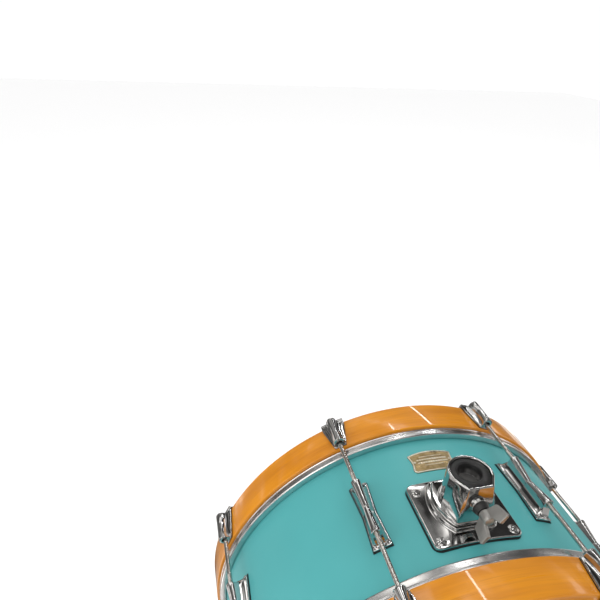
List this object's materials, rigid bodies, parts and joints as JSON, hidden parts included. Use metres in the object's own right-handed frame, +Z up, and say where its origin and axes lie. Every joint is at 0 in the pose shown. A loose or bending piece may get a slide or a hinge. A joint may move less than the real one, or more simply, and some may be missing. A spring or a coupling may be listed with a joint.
{
  "type": "bass drum",
  "caption": "Shallow bass drum with a lacquered wooden shell, wooden hoops held by claw hooks, a tube receiver on top and two folding spurs.",
  "frame": {"origin": "on the floor, under the drum's middle", "axes": "+Z up, along the tube that the receiver holds; +Y along the drum's axis towards the front head; +X to the right, seen from the player's side"},
  "size_m": [0.6218, 0.292, 0.576],
  "materials": {
    "lacquer": "satin turquoise lacquer over plywood",
    "hoop_wood": "amber stain under a clear coat",
    "coated_film": "white coated film",
    "smooth_film": "smooth white film",
    "flesh_metal": "plain satin aluminium",
    "chrome": "bright chrome plating",
    "rod_steel": "plated steel",
    "gasket": "black rubber",
    "nylon": "black nylon",
    "screw_steel": "zinc-plated steel",
    "brass_nut": "plain brass",
    "die_cast": "satin grey die casting",
    "badge_brass": "engraved brass with a paler rim",
    "foot_rubber": "black rubber"
  },
  "bodies": {
    "drum": {"shell": "lacquer", "batter_head": "coated_film", "front_head": "smooth_film", "batter_flesh_hoop": "flesh_metal", "front_flesh_hoop": "flesh_metal", "batter_hoop": "hoop_wood", "front_hoop": "hoop_wood", "batter_claws": "chrome", "front_claws": "chrome", "claw_gaskets": "gasket", "lug_1": "chrome", "lug_2": "chrome", "lug_3": "chrome", "lug_4": "chrome", "lug_5": "chrome", "lug_6": "chrome", "lug_7": "chrome", "lug_8": "chrome", "lug_gaskets": "gasket", "lug_screws": "screw_steel", "swivel_nuts": "brass_nut", "tom_receiver": "chrome", "receiver_gasket": "gasket", "receiver_bushing": "nylon", "receiver_screws": "screw_steel", "receiver_backplate": "screw_steel", "receiver_collar": "nylon", "badge": "badge_brass", "badge_nails": "badge_brass", "spur_bracket_left": "chrome", "spur_bracket_right": "chrome", "spur_gaskets": "gasket", "spur_screws": "screw_steel"},
    "batter_rod_1": {"batter_rod_1": "rod_steel"},
    "batter_rod_2": {"batter_rod_2": "rod_steel"},
    "batter_rod_3": {"batter_rod_3": "rod_steel"},
    "batter_rod_4": {"batter_rod_4": "rod_steel"},
    "batter_rod_5": {"batter_rod_5": "rod_steel"},
    "batter_rod_6": {"batter_rod_6": "rod_steel"},
    "batter_rod_7": {"batter_rod_7": "rod_steel"},
    "batter_rod_8": {"batter_rod_8": "rod_steel"},
    "front_rod_1": {"front_rod_1": "rod_steel"},
    "front_rod_2": {"front_rod_2": "rod_steel"},
    "front_rod_3": {"front_rod_3": "rod_steel"},
    "front_rod_4": {"front_rod_4": "rod_steel"},
    "front_rod_5": {"front_rod_5": "rod_steel"},
    "front_rod_6": {"front_rod_6": "rod_steel"},
    "front_rod_7": {"front_rod_7": "rod_steel"},
    "front_rod_8": {"front_rod_8": "rod_steel"},
    "receiver_wing_bolt": {"receiver_wing_bolt": "die_cast"},
    "spur_arm_left": {"spur_holder_left": "chrome"},
    "spur_leg_left": {"spur_leg_left": "chrome", "spur_foot_left": "foot_rubber"},
    "spur_pivot_bolt_left": {"spur_pivot_bolt_left": "rod_steel"},
    "spur_leg_wing_left": {"spur_leg_wing_left": "die_cast"},
    "spur_arm_right": {"spur_holder_right": "chrome"},
    "spur_leg_right": {"spur_leg_right": "chrome", "spur_foot_right": "foot_rubber"},
    "spur_pivot_bolt_right": {"spur_pivot_bolt_right": "rod_steel"},
    "spur_leg_wing_right": {"spur_leg_wing_right": "die_cast"}
  },
  "joints": [
    {"name": "batter_rod_1_turn", "type": "hinge", "parent": "drum", "child": "batter_rod_1", "pos_m": [0.10447, -0.09, 0.51822], "axis": [0, 1, 0], "continuous": true},
    {"name": "batter_rod_2_turn", "type": "hinge", "parent": "drum", "child": "batter_rod_2", "pos_m": [0.25222, -0.09, 0.37047], "axis": [0, 1, 0], "continuous": true},
    {"name": "batter_rod_3_turn", "type": "hinge", "parent": "drum", "child": "batter_rod_3", "pos_m": [0.25222, -0.09, 0.16153], "axis": [0, 1, 0], "continuous": true},
    {"name": "batter_rod_4_turn", "type": "hinge", "parent": "drum", "child": "batter_rod_4", "pos_m": [0.10447, -0.09, 0.01378], "axis": [0, 1, 0], "continuous": true},
    {"name": "batter_rod_5_turn", "type": "hinge", "parent": "drum", "child": "batter_rod_5", "pos_m": [-0.10447, -0.09, 0.01378], "axis": [0, 1, 0], "continuous": true},
    {"name": "batter_rod_6_turn", "type": "hinge", "parent": "drum", "child": "batter_rod_6", "pos_m": [-0.25222, -0.09, 0.16153], "axis": [0, 1, 0], "continuous": true},
    {"name": "batter_rod_7_turn", "type": "hinge", "parent": "drum", "child": "batter_rod_7", "pos_m": [-0.25222, -0.09, 0.37047], "axis": [0, 1, 0], "continuous": true},
    {"name": "batter_rod_8_turn", "type": "hinge", "parent": "drum", "child": "batter_rod_8", "pos_m": [-0.10447, -0.09, 0.51822], "axis": [0, 1, 0], "continuous": true},
    {"name": "front_rod_1_turn", "type": "hinge", "parent": "drum", "child": "front_rod_1", "pos_m": [0.10447, 0.09, 0.51822], "axis": [0, 1, 0], "continuous": true},
    {"name": "front_rod_2_turn", "type": "hinge", "parent": "drum", "child": "front_rod_2", "pos_m": [0.25222, 0.09, 0.37047], "axis": [0, 1, 0], "continuous": true},
    {"name": "front_rod_3_turn", "type": "hinge", "parent": "drum", "child": "front_rod_3", "pos_m": [0.25222, 0.09, 0.16153], "axis": [0, 1, 0], "continuous": true},
    {"name": "front_rod_4_turn", "type": "hinge", "parent": "drum", "child": "front_rod_4", "pos_m": [0.10447, 0.09, 0.01378], "axis": [0, 1, 0], "continuous": true},
    {"name": "front_rod_5_turn", "type": "hinge", "parent": "drum", "child": "front_rod_5", "pos_m": [-0.10447, 0.09, 0.01378], "axis": [0, 1, 0], "continuous": true},
    {"name": "front_rod_6_turn", "type": "hinge", "parent": "drum", "child": "front_rod_6", "pos_m": [-0.25222, 0.09, 0.16153], "axis": [0, 1, 0], "continuous": true},
    {"name": "front_rod_7_turn", "type": "hinge", "parent": "drum", "child": "front_rod_7", "pos_m": [-0.25222, 0.09, 0.37047], "axis": [0, 1, 0], "continuous": true},
    {"name": "front_rod_8_turn", "type": "hinge", "parent": "drum", "child": "front_rod_8", "pos_m": [-0.10447, 0.09, 0.51822], "axis": [0, 1, 0], "continuous": true},
    {"name": "receiver_wing_turn", "type": "hinge", "parent": "drum", "child": "receiver_wing_bolt", "pos_m": [0, -0.06, 0.554], "axis": [0, 1, 0], "continuous": true},
    {"name": "spur_fold_left", "type": "hinge", "parent": "drum", "child": "spur_arm_left", "pos_m": [-0.19516, 0.02, 0.07084], "axis": [0.5, 0, -0.866], "range_deg": [0, 67.5]},
    {"name": "spur_leg_slide_left", "type": "slide", "parent": "spur_arm_left", "child": "spur_leg_left", "axis": [-0.8011, 0.38, -0.4625], "range_m": [0, 0.04]},
    {"name": "spur_pivot_bolt_turn_left", "type": "hinge", "parent": "drum", "child": "spur_pivot_bolt_left", "pos_m": [-0.19516, 0.02, 0.07084], "axis": [0.5, 0, -0.866], "continuous": true},
    {"name": "spur_leg_wing_turn_left", "type": "hinge", "parent": "spur_arm_left", "child": "spur_leg_wing_left", "pos_m": [-0.24322, 0.0428, 0.04309], "axis": [-0.3291, -0.925, -0.19], "continuous": true},
    {"name": "spur_fold_right", "type": "hinge", "parent": "drum", "child": "spur_arm_right", "pos_m": [0.19516, 0.02, 0.07084], "axis": [0.5, 0, 0.866], "range_deg": [0, 67.5]},
    {"name": "spur_leg_slide_right", "type": "slide", "parent": "spur_arm_right", "child": "spur_leg_right", "axis": [0.8011, 0.38, -0.4625], "range_m": [0, 0.04]},
    {"name": "spur_pivot_bolt_turn_right", "type": "hinge", "parent": "drum", "child": "spur_pivot_bolt_right", "pos_m": [0.19516, 0.02, 0.07084], "axis": [0.5, 0, 0.866], "continuous": true},
    {"name": "spur_leg_wing_turn_right", "type": "hinge", "parent": "spur_arm_right", "child": "spur_leg_wing_right", "pos_m": [0.24322, 0.0428, 0.04309], "axis": [0.3291, -0.925, -0.19], "continuous": true}
  ]
}
